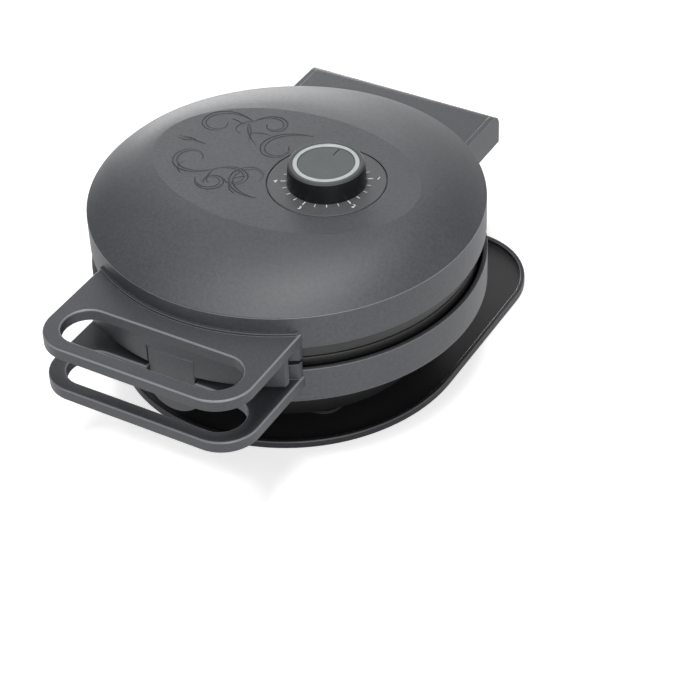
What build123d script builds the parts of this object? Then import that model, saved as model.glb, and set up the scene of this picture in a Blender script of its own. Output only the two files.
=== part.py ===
"""Electric krumkake iron: a round two-plate cooker with a hinged lid, on a drip tray.

Millimetres, +Z up. The origin is on the cooking plates' axis, on the underside of the
drip tray. The handles point along -Y and the hinge lies along +Y. The lid is closed.
"""

from build123d import *

from math import cos, radians, sin, sqrt
import os

os.makedirs("parts", exist_ok=True)

# ---------------------------------------------------------------- fasteners and fits
SCREW = 1.5  # small screws' shank radius
PLATE_SCREW = 2.0
HEAD_RATIO = 1.9  # head radius over shank radius
THREAD_FIT = 0.05
RUNNING_FIT = 0.06
HOLE_FIT = 0.3
SHEET = 1.0  # reflectors
BRIDGE_SHEET = 2.0

# ---------------------------------------------------------------- drip tray and feet
TRAY_RADIUS = 96.6  # half width, and the round front end about the plates' axis
TRAY_BACK = 123.6  # straight back edge
TRAY_CORNER = 43.0
TRAY_RIM = 4.8
TRAY_FLOOR = 1.8
TRAY_RIM_WIDTH = 2.6
WELL_RISE = 1.2  # rings that keep the feet in place
FOOT_RADIUS = 9.0
FOOT_HEIGHT = 5.2
FOOT_CIRCLE = 62.0
FOOT_PLUG = 3.0  # radius of the plug that snaps into the pan

# ---------------------------------------------------------------- cooking plates
PLATE_RADIUS = 101.5
PLATE_THICK = 6.0
PLATE_SKIRT = 4.0
PLATE_SKIRT_WALL = 3.0
FACE_GAP = 0.5  # between the two plate rims
RIM_WIDTH = 5.0
FIELD_DEPTH = 1.3  # how far the cooking field lies below the rim
RIDGE_HEIGHT = 0.7
RIDGE_WIDTH = 1.2
FIELD_MARGIN = 6.5  # plain band between the field's edge and its outer ridge
RIDGE_RINGS = (13.0, 50.0, PLATE_RADIUS - RIM_WIDTH - FIELD_MARGIN)
PETALS = 12
PETAL_HALF_WIDTHS = (6.5, 11.0)
REFLECTOR_INSET = 15.5  # reflector inside the plate's edge
REFLECTOR_RADIUS = PLATE_RADIUS - REFLECTOR_INSET
REFLECTOR_BORE = 12.0
REFLECTOR_LIP = 4.0
ELEMENT_INSET = 22.0  # heating ring inside the reflector's edge
ELEMENT_RADIUS = REFLECTOR_RADIUS - ELEMENT_INSET
ELEMENT_TUBE = 3.5
BOSS_RADIUS = 5.0
BOSS_HEIGHT = 10.8
BOSS_INSET = 16.0  # lower plate's screw bosses inside the heating ring
BOSS_CIRCLE = ELEMENT_RADIUS - BOSS_INSET
ELEMENT_GAP = 44.0  # degrees left open between the ring's ends
ELEMENT_BEND = 10.0
ELEMENT_LEG = 8.0
RIB_HEIGHT = 5.0
FUSE_INSET = 12.0  # fuse's outer wire inside the heating ring
FUSE_RADIUS = 2.2
FUSE_LENGTH = 11.0
FUSE_WIRE = 6.0

# ---------------------------------------------------------------- housings
PAN_WALL = 2.2
PAN_DEPTH = 32.4
PAN_TOP_RADIUS = PLATE_RADIUS - 10.5
PAN_BOTTOM_RADIUS = PAN_TOP_RADIUS - 14.0
PAN_FLANGE = 10.0
POST_LENGTH = 12.0  # post above the plate screws' heads
PLATE_SCREW_BITE = 8.0  # plate screws above their posts
PAN_SCREW_LENGTH = 6.5
SHELL_WALL = 2.5
SHELL_RADIUS = PLATE_RADIUS + 1.8 + SHELL_WALL
SHELL_HEIGHT = 21.2
PLATE_STAND = 4.6  # parting plane above the lower housing's edge
LID_WALL = 2.6
LID_RADIUS = PLATE_RADIUS + 1.1 + LID_WALL
LID_BAND = 19.4  # height of the lid's upright band
SKIRT_LIFT = 8.7  # from the parting plane up to the lid's lower edge
DOME_RISE = 16.3
RIM_ROUND = 0.7
DOME_CROWN = 0.2
PLATEAU_X = 75.6  # semi-axes of the flat oval on top
PLATEAU_Y = 51.8

# ---------------------------------------------------------------- knob and dial
KNOB_X = 25.1
KNOB_RADIUS = 20.8
KNOB_DRAFT = 0.8
KNOB_HEIGHT = 11.3
KNOB_LIFT = 0.4  # running gap over the dial
KNOB_WALL = 2.2
KNOB_SLEEVE = 5.6
RING_OUTER = KNOB_RADIUS - 3.3
RING_INNER = RING_OUTER - 2.6
INLAY_DEPTH = 1.6
DIAL_RADIUS = 31.0
DIAL_THICK = 1.5
DIAL_SEAT = 3.1  # lid thickness left under the dial
DIAL_HOLE = 6.0
DIAL_SCREW_CIRCLE = 17.0
SPINDLE_RADIUS = 3.0
SPINDLE_FLAT = 1.9  # from the axis to the flat
THERMOSTAT_X = 28.0
THERMOSTAT_Y = 25.0
THERMOSTAT_Z = 14.0
BRIDGE_FOOT = 7.0  # foot beyond its screws
BRIDGE_CLEAR = 5.9  # foot's end to the reflector's rim
BRIDGE_REACH = REFLECTOR_RADIUS - BRIDGE_CLEAR - BRIDGE_FOOT - KNOB_X  # to the feet's screws
BRIDGE_STEP = 8.0  # screws outside the bridge's legs
BRIDGE_LEG = BRIDGE_REACH - BRIDGE_STEP
BRIDGE_HALF = 20.0
BRIDGE_SCREW_LENGTH = 11.0
DIAL_SCREW_LENGTH = 6.0
DIAL_GAP = 0.6  # groove round the dial face
BRIDGE_EDGE = 6.0  # bridge feet's screws in from its edge

# ---------------------------------------------------------------- handles
HANDLE_HALF = 59.6
HANDLE_REACH = 46.9  # from the lid's band to the front edge
HANDLE_THICK = 6.4
HANDLE_CORNER = 20.0
HANDLE_DROP = 10.0  # from the lid's rim down to the handle's top
BAR_WIDTH = 8.1
SLOT_END = 8.3
LIP_HEIGHT = 1.4
LIP_WIDTH = 1.7
MOUNT_WALL = 2.4
UPPER_WALL_LIFT = 3.0  # from the parting plane up to the upper handle's curved wall
LOWER_WALL_LIFT = 1.0  # from the parting plane up to the top of the lower handle's wall
APRON_REACH = 11.8  # curved wall behind the finger slot
APRON_WALL = 2.9
APRON_INSET = 1.3  # curved wall's ends inside the handle's sides
APRON_BOTTOM = 3.0  # gap down to the lower handle
LOWER_OVERHANG = 0.6  # lower handle wider than the upper one
LOWER_DROP = 3.9  # from the lower housing's edge down to the lower handle's top
EDGE = 1.0  # rounded edges of the handles
HANDLE_SCREW_INSET = 29.6  # handle screws in from the handle's ends
SCREW_LENGTH = 15.0

# ---------------------------------------------------------------- latch
CLIP_HALF = 13.6
CLIP_THICK = 4.0
CLIP_TAB = 12.5  # finger tab below the hook
CLIP_HEAD = 1.8  # from the pin up to the flat top
CLIP_ROUND = 18.2  # radius of the rounded end
CLIP_PIN_LIFT = 2.4  # pin above the parting plane
CLIP_GAP = 0.4
CLIP_HUB = 2.8
PIN_RADIUS = 1.1
LUG_WALL = 4.0
HOOK_BITE = 1.6
HOOK_HEIGHT = 4.0
SPRING_RADIUS = 1.75
SPRING_WIRE = 0.3
SPRING_TURNS = 3
SPRING_PITCH = 1.2

# ---------------------------------------------------------------- hinge
HINGE_REACH = 15.2  # hinge axis behind the lower housing
HINGE_LIFT = 6.3  # hinge axis above the parting plane
HINGE_PIN = 3.0
BLOCK_HALF = 58.4
BLOCK_TAIL = 12.0  # cover's back behind the hinge axis
BLOCK_ROUND = 8.0
BLOCK_WALL = 2.4
BLOCK_DROP = 9.2  # from the lid's rim down to the block's top
BLOCK_CLEAR = 0.6  # cover's lower edge below the parting plane
CAP_THICK = 3.0
ARM_INNER = 27.0
ARM_OUTER = 37.0
ARM_BOSS = 6.5
ARM_DEPTH = 4.8
RIB_WALL = 3.6
RIB_GAP = 1.5  # between an arm and the cover's rib
BUSH_WALL = 1.2
BUSH_FLANGE = 0.8
BRACKET_GAP = 10.0  # bracket's back face ahead of the hinge axis
BRACKET_DROP = 2.2  # gap from the parting plane down to the bracket's top
BRACKET_HEIGHT = 20.0
HINGE_SCREW_INSET = 11.4  # hinge screws in from the cover's ends
GLAND_BORE = 3.6
GLAND_WALL = 1.6
GLAND_FLANGE = 7.5
GLAND_RISE = 11.0  # cord's height above the lower housing's edge

# ---------------------------------------------------------------- derived places
PAN_Z = TRAY_FLOOR + FOOT_HEIGHT
SHELL_Z = PAN_Z + PAN_DEPTH
SHELL_TOP = SHELL_Z + SHELL_HEIGHT
PARTING_Z = SHELL_TOP + PLATE_STAND
SKIRT_Z = PARTING_Z + SKIRT_LIFT
RIM_Z = SKIRT_Z + LID_BAND
TOP_Z = RIM_Z + DOME_RISE
LOWER_FACE = PARTING_Z - FACE_GAP / 2
UPPER_FACE = PARTING_Z + FACE_GAP / 2
LOWER_BACK = LOWER_FACE - PLATE_THICK
UPPER_BACK = UPPER_FACE + PLATE_THICK
LOWER_SHEET = LOWER_BACK - BOSS_HEIGHT  # face of the reflector that the bosses touch
UPPER_SHEET = UPPER_BACK + BOSS_HEIGHT
SCREW_SEAT = LOWER_SHEET - SHEET - POST_LENGTH
HANDLE_Z = RIM_Z - HANDLE_DROP
HANDLE_UNDER = HANDLE_Z - HANDLE_THICK
HANDLE_FRONT = LID_RADIUS + HANDLE_REACH
APRON_RADIUS = LID_RADIUS + APRON_REACH
APRON_INNER = APRON_RADIUS - APRON_WALL
SLOT_BACK = APRON_RADIUS + 0.4
SLOT_FRONT = HANDLE_FRONT - BAR_WIDTH
SLOT_HALF = HANDLE_HALF - SLOT_END
LOWER_HALF = HANDLE_HALF + LOWER_OVERHANG
HANDLE_SCREW_X = HANDLE_HALF - HANDLE_SCREW_INSET
LOWER_HANDLE_Z = SHELL_TOP - LOWER_DROP
LOWER_UNDER = LOWER_HANDLE_Z - HANDLE_THICK
DIAL_Z = TOP_Z - DIAL_THICK
BRIDGE_Z = DIAL_Z - DIAL_SEAT
KNOB_Z = TOP_Z + KNOB_LIFT
KNOB_TOP = KNOB_Z + KNOB_HEIGHT
INLAY_Z = KNOB_TOP - INLAY_DEPTH
HINGE_Y = SHELL_RADIUS + HINGE_REACH
HINGE_Z = PARTING_Z + HINGE_LIFT
BLOCK_BACK = HINGE_Y + BLOCK_TAIL
BLOCK_TOP = RIM_Z - BLOCK_DROP
BLOCK_BOTTOM = PARTING_Z - BLOCK_CLEAR
CORE_HALF = BLOCK_HALF - CAP_THICK
HINGE_SCREW_X = BLOCK_HALF - HINGE_SCREW_INSET
BRACKET_BACK = HINGE_Y - BRACKET_GAP
BRACKET_TOP = PARTING_Z - BRACKET_DROP
BRACKET_BOTTOM = BRACKET_TOP - BRACKET_HEIGHT
GLAND_Z = SHELL_Z + GLAND_RISE
GLAND_START = SHELL_RADIUS - SHELL_WALL - 1
CLIP_PIN_Z = PARTING_Z + CLIP_PIN_LIFT
CLIP_FACE = APRON_RADIUS - CLIP_GAP  # front of the clip at mid width
CLIP_BACK = CLIP_FACE - CLIP_THICK
CLIP_PIN_Y = CLIP_GAP + CLIP_HUB - CLIP_FACE
HOOK_TOP = LOWER_UNDER - CLIP_GAP
TAIL_Z = HOOK_TOP - HOOK_HEIGHT - CLIP_TAB
HEAD_Z = CLIP_PIN_Z + CLIP_HEAD
UPPER_SCREW_Z = SKIRT_Z + 6.6
LOWER_SCREW_Z = LOWER_UNDER - 2.6
REAR_SCREW_Z = SHELL_Z + 9.0

KNOB_AXIS = Axis((KNOB_X, 0, 0), (0, 0, 1))
KNOB_PLANE = Plane(origin=(KNOB_X, 0, 0), x_dir=(1, 0, 0), z_dir=(0, -1, 0))
HINGE_LINE = Location((0, HINGE_Y, HINGE_Z), (0, 90, 0))
CLIP_LINE = Location((0, CLIP_PIN_Y, CLIP_PIN_Z), (0, 90, 0))


def circle_points(radius, angles, middle=0.0):
    """Points on a circle about (middle, 0)."""
    return [(middle + radius * cos(radians(a)), radius * sin(radians(a))) for a in angles]


def seat_y(screw_x):
    """Where a screw head inside a housing just clears the cooking plate's radius."""
    return sqrt(PLATE_RADIUS**2 - (screw_x + SCREW * HEAD_RATIO) ** 2)


FEET = circle_points(FOOT_CIRCLE, (45, 135, 225, 315))
LOWER_SCREWS = circle_points(BOSS_CIRCLE, (45, 135, 225, 315))
BRIDGE_SCREW_Y = BRIDGE_HALF - BRIDGE_EDGE
UPPER_SCREWS = [
    (KNOB_X + x, y)
    for x in (-BRIDGE_REACH, BRIDGE_REACH)
    for y in (-BRIDGE_SCREW_Y, BRIDGE_SCREW_Y)
]
PAN_SCREWS = circle_points(PAN_TOP_RADIUS + PAN_FLANGE / 2 + 0.5, (45, 135, 225, 315))
DIAL_SCREWS = circle_points(DIAL_SCREW_CIRCLE, (60, 180, 300), KNOB_X)
FRONT_SEAT = seat_y(HANDLE_SCREW_X)
REAR_SEAT = seat_y(HINGE_SCREW_X)


# ---------------------------------------------------------------- shared shapes
def turned(points, axis=Axis.Z, plane=Plane.XZ):
    """Revolve a closed outline of (radius, height) points."""
    with BuildPart() as shape:
        with BuildSketch(plane):
            with BuildLine():
                Polyline(*points, close=True)
            make_face()
        revolve(axis=axis)
    return shape.part


def posts(places, radius, low, high):
    """Upright round bars between two heights, used as posts or as holes."""
    with BuildPart() as shape:
        with BuildSketch(Plane.XY.offset(low)):
            with Locations(*places):
                Circle(radius)
        extrude(amount=high - low)
    return shape.part


def rods_along_y(places, radius, start, end):
    """Round bars along Y between two stations; places are (x, z)."""
    with BuildPart() as shape:
        with BuildSketch(Plane.XZ.offset(-start)):
            with Locations(*places):
                Circle(radius)
        extrude(amount=start - end)
    return shape.part


def pan_screw(place, length, shank):
    """A pan-head screw along local -Z, with its head's underside at the place."""
    with BuildPart() as screw:
        with Locations(place):
            Cylinder(shank, length, align=(Align.CENTER, Align.CENTER, Align.MAX))
            Cylinder(shank * HEAD_RATIO, shank * 1.3, align=(Align.CENTER, Align.CENTER, Align.MIN))
    return screw.part


def flat_screw(place, length, shank, grow=0.0):
    """A countersunk screw along local -Z, with its head flush at the place."""
    head = shank * HEAD_RATIO
    with BuildPart() as screw:
        with Locations(place):
            Cylinder(shank + grow, length, align=(Align.CENTER, Align.CENTER, Align.MAX))
            with Locations((0, 0, -(head - shank) / 2)):
                Cone(shank + grow, head + grow, head - shank)
    return screw.part


def seat_screws(height, screw_x, seat, side):
    """Screws that run outwards from inside a housing into a handle or hinge part."""
    with BuildPart() as pair:
        for x in (-screw_x, screw_x):
            add(pan_screw(Location((x, side * seat, height), (90 * side, 0, 0)), SCREW_LENGTH, SCREW))
    return pair.part


def screw_pads(radius, height, screw_x, seat, side):
    """Flat pads on the inside of a housing, one for each screw head."""
    with BuildPart() as pads:
        with BuildSketch(Plane.XY.offset(height - 4)):
            with Locations((-screw_x, side * (seat + 5)), (screw_x, side * (seat + 5))):
                Rectangle(9, 10)
            Circle(radius - 1, mode=Mode.INTERSECT)
        extrude(amount=8)
    return pads.part


def curved_wall(inner, outer, half, low, high, side=-1):
    """A wall about the plates' axis, in front (-1) or behind (1), limited to |x| <= half."""
    with BuildPart() as wall:
        with BuildSketch(Plane.XY.offset(low)):
            Circle(outer)
            Circle(inner, mode=Mode.SUBTRACT)
            with Locations((0, side * outer)):
                Rectangle(2 * half, 2 * outer, mode=Mode.INTERSECT)
        extrude(amount=high - low)
    return wall.part


# ---------------------------------------------------------------- drip tray
def tray_outline(inset):
    """Plan of the tray: a round front, straight sides and rounded back corners."""
    half, back, corner = TRAY_RADIUS - inset, TRAY_BACK - inset, TRAY_CORNER - inset
    with BuildSketch() as plan:
        with BuildLine():
            front = CenterArc((0, 0), half, 180, 180)
            right = Line(front @ 1, (half, back - corner))
            turn = TangentArc(right @ 1, (half - corner, back), tangent=right % 1)
            rear = Line(turn @ 1, (corner - half, back))
            turn_left = TangentArc(rear @ 1, (-half, back - corner), tangent=rear % 1)
            Line(turn_left @ 1, front @ 0)
        make_face()
    return plan.sketch


with BuildPart() as drip_tray:
    with BuildSketch():
        add(tray_outline(0))
    extrude(amount=TRAY_RIM)
    with BuildSketch(Plane.XY.offset(TRAY_FLOOR)):
        add(tray_outline(TRAY_RIM_WIDTH))
    extrude(amount=TRAY_RIM, mode=Mode.SUBTRACT)
    fillet(drip_tray.edges().group_by(Axis.Z)[-1], 0.8)
    chamfer(drip_tray.edges().group_by(Axis.Z)[0], 0.8)
    with BuildSketch(Plane.XY.offset(TRAY_FLOOR)):
        with Locations(*FEET):
            Circle(FOOT_RADIUS + 2.4)
            Circle(FOOT_RADIUS + 0.8, mode=Mode.SUBTRACT)
    extrude(amount=WELL_RISE)

# ---------------------------------------------------------------- base
with BuildPart() as rubber_feet:
    with BuildSketch(Plane.XY.offset(TRAY_FLOOR)):
        with Locations(*FEET):
            Circle(FOOT_RADIUS)
    extrude(amount=FOOT_HEIGHT)
    chamfer(rubber_feet.edges().group_by(Axis.Z)[0], 0.8)
    add(posts(FEET, FOOT_PLUG, PAN_Z, PAN_Z + PAN_WALL + 1.2))

with BuildPart() as base_pan:
    add(
        turned(
            [
                (0, PAN_Z),
                (PAN_BOTTOM_RADIUS, PAN_Z),
                (PAN_TOP_RADIUS, SHELL_Z - PAN_WALL),
                (PAN_TOP_RADIUS + PAN_FLANGE, SHELL_Z - PAN_WALL),
                (PAN_TOP_RADIUS + PAN_FLANGE, SHELL_Z),
                (PAN_TOP_RADIUS - PAN_WALL, SHELL_Z),
                (PAN_BOTTOM_RADIUS - PAN_WALL, PAN_Z + PAN_WALL),
                (0, PAN_Z + PAN_WALL),
            ]
        )
    )
    fillet(base_pan.edges().filter_by(GeomType.CIRCLE).group_by(Axis.Z)[0], 2.0)
    add(posts(LOWER_SCREWS, BOSS_RADIUS + 1.5, PAN_Z + 1, LOWER_SHEET - SHEET))
    add(posts(LOWER_SCREWS, PLATE_SCREW + HOLE_FIT, PAN_Z, LOWER_SHEET), mode=Mode.SUBTRACT)
    add(
        posts(LOWER_SCREWS, PLATE_SCREW * HEAD_RATIO + HOLE_FIT, PAN_Z, SCREW_SEAT),
        mode=Mode.SUBTRACT,
    )
    add(posts(FEET, FOOT_PLUG + THREAD_FIT, PAN_Z, PAN_Z + 5), mode=Mode.SUBTRACT)
    add(posts(PAN_SCREWS, SCREW + HOLE_FIT, SHELL_Z - 5, SHELL_Z), mode=Mode.SUBTRACT)
    with BuildSketch(Plane.XY.offset(PAN_Z)):
        with PolarLocations(20, 8):
            SlotOverall(16, 3)
    extrude(amount=PAN_WALL, mode=Mode.SUBTRACT)

with BuildPart() as lower_shell:
    add(
        turned(
            [
                (PAN_TOP_RADIUS + 1, SHELL_Z),
                (SHELL_RADIUS, SHELL_Z),
                (SHELL_RADIUS, SHELL_TOP),
                (SHELL_RADIUS - SHELL_WALL, SHELL_TOP),
                (SHELL_RADIUS - SHELL_WALL, SHELL_Z + SHELL_WALL),
                (PAN_TOP_RADIUS + 1, SHELL_Z + SHELL_WALL),
            ]
        )
    )
    low_rings = lower_shell.edges().filter_by(GeomType.CIRCLE).group_by(Axis.Z)[0]
    fillet(low_rings.sort_by(SortBy.RADIUS)[-1:], 1.6)
    fillet(lower_shell.edges().group_by(Axis.Z)[-1], 0.5)
    add(screw_pads(SHELL_RADIUS, LOWER_SCREW_Z, HANDLE_SCREW_X, FRONT_SEAT, -1))
    add(screw_pads(SHELL_RADIUS, REAR_SCREW_Z, HINGE_SCREW_X, REAR_SEAT, 1))
    add(posts(PAN_SCREWS, 3.6, SHELL_Z + 0.5, SHELL_Z + SHELL_WALL + 6))
    add(
        posts(PAN_SCREWS, SCREW + THREAD_FIT, SHELL_Z, SHELL_Z + SHELL_WALL + 5),
        mode=Mode.SUBTRACT,
    )
    handle_holes = [(-HANDLE_SCREW_X, LOWER_SCREW_Z), (HANDLE_SCREW_X, LOWER_SCREW_Z)]
    add(rods_along_y(handle_holes, SCREW + HOLE_FIT, -SHELL_RADIUS, 1 - FRONT_SEAT), mode=Mode.SUBTRACT)
    hinge_holes = [(-HINGE_SCREW_X, REAR_SCREW_Z), (HINGE_SCREW_X, REAR_SCREW_Z)]
    add(rods_along_y(hinge_holes, SCREW + HOLE_FIT, REAR_SEAT - 1, SHELL_RADIUS), mode=Mode.SUBTRACT)
    add(
        rods_along_y([(0, GLAND_Z)], GLAND_BORE + GLAND_WALL, GLAND_START - 2, SHELL_RADIUS + 1),
        mode=Mode.SUBTRACT,
    )


def heater_path(height):
    """Centre line of a heating ring: an open circle whose ends turn in towards the axis."""
    with BuildLine(Plane.XY.offset(height)) as path:
        ring = CenterArc((0, 0), ELEMENT_RADIUS, 90 + ELEMENT_GAP / 2, 360 - ELEMENT_GAP)
        tail = JernArc(ring @ 1, ring % 1, ELEMENT_BEND, 90)
        Line(tail @ 1, (tail @ 1) + (tail % 1) * ELEMENT_LEG)
        head = JernArc(ring @ 0, (ring % 0) * -1, ELEMENT_BEND, -90)
        Line(head @ 1, (head @ 1) + (head % 1) * ELEMENT_LEG)
    return path.wire()


def heater_tube(height, radius):
    """Round tube along the heating ring."""
    path = heater_path(height)
    with BuildPart() as tube:
        with BuildSketch(Plane(origin=path @ 0, z_dir=path % 0)):
            Circle(radius)
        sweep(path=path)
    return tube.part


def heating_element(height):
    """Sheathed heating ring with a terminal pin at each end."""
    path = heater_path(height)
    with BuildPart() as element:
        add(heater_tube(height, ELEMENT_TUBE))
        for point, direction in ((path @ 0, (path % 0) * -1), (path @ 1, path % 1)):
            with BuildSketch(Plane(origin=point - direction, z_dir=direction)):
                Circle(1.2)
            extrude(amount=8)
    return element.part


def leaf(middle, half_length, half_width, inset):
    """Leaf outline along X: the overlap of two circles, optionally drawn smaller."""
    radius = (half_length**2 + half_width**2) / (2 * half_width)
    offset_y = radius - half_width
    with BuildSketch() as outline:
        with Locations((middle, offset_y)):
            Circle(radius - inset)
        with Locations((middle, -offset_y)):
            Circle(radius - inset, mode=Mode.INTERSECT)
    return outline.sketch


def rosette(height, direction):
    """Raised ridges that print the wafer: petals between rings, a traditional rose."""
    with BuildPart() as ridges:
        with BuildSketch(Plane.XY.offset(height)):
            for inner, outer, half_width in zip(RIDGE_RINGS, RIDGE_RINGS[1:], PETAL_HALF_WIDTHS):
                middle = (inner + outer - RIDGE_WIDTH) / 2
                half_length = middle - inner + RIDGE_WIDTH / 2
                with PolarLocations(0, PETALS):
                    add(leaf(middle, half_length, half_width, 0))
                with PolarLocations(0, PETALS):
                    add(leaf(middle, half_length, half_width, RIDGE_WIDTH), mode=Mode.SUBTRACT)
            for radius in RIDGE_RINGS:
                with BuildSketch(mode=Mode.PRIVATE) as ring:
                    Circle(radius)
                    Circle(radius - RIDGE_WIDTH, mode=Mode.SUBTRACT)
                add(ring.sketch)
        extrude(amount=direction * RIDGE_HEIGHT)
    return ridges.part


def cast_plate(face, back, screws):
    """A cast cooking plate: face is its rim's height, back is -1 or +1 towards its back."""
    field, rear = face + back * FIELD_DEPTH, face + back * PLATE_THICK
    skirt, boss = rear + back * PLATE_SKIRT, rear + back * BOSS_HEIGHT
    with BuildPart() as plate:
        add(
            turned(
                [
                    (0, field),
                    (PLATE_RADIUS - RIM_WIDTH, field),
                    (PLATE_RADIUS - RIM_WIDTH + FIELD_DEPTH, face),
                    (PLATE_RADIUS, face),
                    (PLATE_RADIUS, skirt),
                    (PLATE_RADIUS - PLATE_SKIRT_WALL, skirt),
                    (PLATE_RADIUS - PLATE_SKIRT_WALL, rear),
                    (0, rear),
                ]
            )
        )
        rings = plate.edges().filter_by(GeomType.CIRCLE)
        fillet([ring for ring in rings if ring.radius > PLATE_RADIUS - 0.01], 0.5)
        with BuildSketch(Plane.XY.offset(rear)):
            Circle(ELEMENT_RADIUS + ELEMENT_TUBE + 2.5)
            Circle(ELEMENT_RADIUS - ELEMENT_TUBE - 2.5, mode=Mode.SUBTRACT)
        extrude(amount=back * RIB_HEIGHT)
        add(posts(screws, BOSS_RADIUS, *sorted((rear, boss))))
        holes = posts(screws, PLATE_SCREW + THREAD_FIT, *sorted((rear + back, boss)))
        add(holes, mode=Mode.SUBTRACT)
        add(heater_tube(rear + back * RIB_HEIGHT, ELEMENT_TUBE + 0.1), mode=Mode.SUBTRACT)
        add(rosette(field, -back))
    return plate.part


def reflector(sheet, back, screws):
    """Sheet-metal heat shield behind a plate, its rim turned towards the plate."""
    with BuildPart() as shield:
        add(
            turned(
                [
                    (REFLECTOR_BORE, sheet),
                    (REFLECTOR_RADIUS - SHEET, sheet),
                    (REFLECTOR_RADIUS - SHEET, sheet - back * REFLECTOR_LIP),
                    (REFLECTOR_RADIUS, sheet - back * REFLECTOR_LIP),
                    (REFLECTOR_RADIUS, sheet + back * SHEET),
                    (REFLECTOR_BORE, sheet + back * SHEET),
                ]
            )
        )
        holes = posts(screws, PLATE_SCREW + HOLE_FIT, *sorted((sheet, sheet + back * SHEET)))
        add(holes, mode=Mode.SUBTRACT)
    return shield.part


def thermal_fuse(rear, back):
    """Axial thermal fuse that lies against a plate's back."""
    wire_end = FUSE_INSET - ELEMENT_RADIUS
    with BuildPart() as fuse:
        with BuildSketch(Plane.YZ.offset(wire_end + FUSE_WIRE)):
            with Locations((0, rear + back * FUSE_RADIUS)):
                Circle(FUSE_RADIUS)
        extrude(amount=FUSE_LENGTH)
        with BuildSketch(Plane.YZ.offset(wire_end)):
            with Locations((0, rear + back * FUSE_RADIUS)):
                Circle(0.6)
        extrude(amount=FUSE_LENGTH + 2 * FUSE_WIRE)
    return fuse.part


with BuildPart() as lower_plate:
    add(cast_plate(LOWER_FACE, -1, LOWER_SCREWS))

with BuildPart() as upper_plate:
    add(cast_plate(UPPER_FACE, 1, UPPER_SCREWS))

with BuildPart() as lower_element:
    add(heating_element(LOWER_BACK - RIB_HEIGHT))

with BuildPart() as upper_element:
    add(heating_element(UPPER_BACK + RIB_HEIGHT))

with BuildPart() as lower_reflector:
    add(reflector(LOWER_SHEET, -1, LOWER_SCREWS))

with BuildPart() as upper_reflector:
    add(reflector(UPPER_SHEET, 1, UPPER_SCREWS))
    add(posts([(KNOB_X, 0)], 7.0, UPPER_SHEET, UPPER_SHEET + SHEET), mode=Mode.SUBTRACT)

with BuildPart() as lower_thermal_fuse:
    add(thermal_fuse(LOWER_BACK, -1))

with BuildPart() as upper_thermal_fuse:
    add(thermal_fuse(UPPER_BACK, 1))

with BuildPart() as plate_screws:
    for x, y in LOWER_SCREWS:
        add(pan_screw(Location((x, y, SCREW_SEAT), (180, 0, 0)), POST_LENGTH + PLATE_SCREW_BITE, PLATE_SCREW))

with BuildPart() as pan_screws:
    for x, y in PAN_SCREWS:
        add(pan_screw(Location((x, y, SHELL_Z - PAN_WALL), (180, 0, 0)), PAN_SCREW_LENGTH, SCREW))

TERMINAL_Y = 58.0
TERMINAL_PITCH = 8.0
TERMINAL_DEPTH = 14.0
TERMINAL_HEIGHT = 12.0
TERMINAL_POLES = [(TERMINAL_PITCH * pole, TERMINAL_Y) for pole in (-1, 0, 1)]
with BuildPart() as terminal_block:
    with BuildSketch(Plane.XY.offset(PAN_Z + PAN_WALL)):
        with Locations((0, TERMINAL_Y)):
            RectangleRounded(3 * TERMINAL_PITCH + 2, TERMINAL_DEPTH, 2)
    extrude(amount=TERMINAL_HEIGHT)
    terminal_top = PAN_Z + PAN_WALL + TERMINAL_HEIGHT
    add(posts(TERMINAL_POLES, 2.4, terminal_top - 5, terminal_top), mode=Mode.SUBTRACT)


# ---------------------------------------------------------------- lid
def dome(inset, base, top):
    """Loft from the round rim to the oval plateau, bulging a little on the way."""
    with BuildPart() as body:
        for share in (0.0, 0.5, 1.0):
            height = base + (top - base) * (share + DOME_CROWN * 4 * share * (1 - share))
            radius_x = (LID_RADIUS - inset) * (1 - share) + (PLATEAU_X - inset) * share
            radius_y = (LID_RADIUS - inset) * (1 - share) + (PLATEAU_Y - inset) * share
            with BuildSketch(Plane.XY.offset(height)):
                if share == 0:
                    Circle(radius_x)
                else:
                    Ellipse(radius_x, radius_y)
        loft()
    return body.part


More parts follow.
